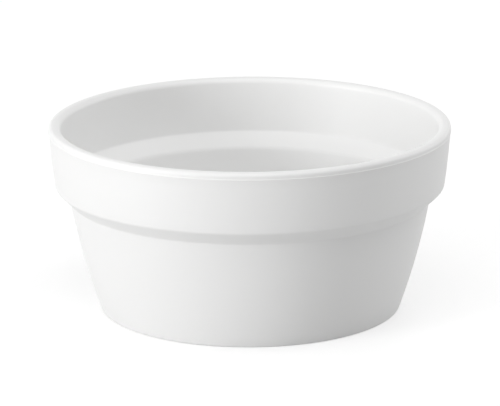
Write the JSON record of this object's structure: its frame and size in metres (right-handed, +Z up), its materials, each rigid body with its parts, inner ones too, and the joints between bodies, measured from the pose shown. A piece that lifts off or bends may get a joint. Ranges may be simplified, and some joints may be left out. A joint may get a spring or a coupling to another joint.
{
  "type": "ramekin",
  "caption": "Round tapered serving dish with a wider collar, a full round rim, a ledge inside for stacking and a recessed foot.",
  "frame": {"origin": "centre of the foot ring's resting face", "axes": "+Z up along the axis of the round dish; X and Y are free, because the dish is the same all round"},
  "size_m": [0.0825, 0.0824, 0.0385],
  "materials": {
    "white_melamine": "smooth white melamine with a soft gloss"
  },
  "bodies": {
    "root": {"bowl": "white_melamine"}
  },
  "joints": []
}
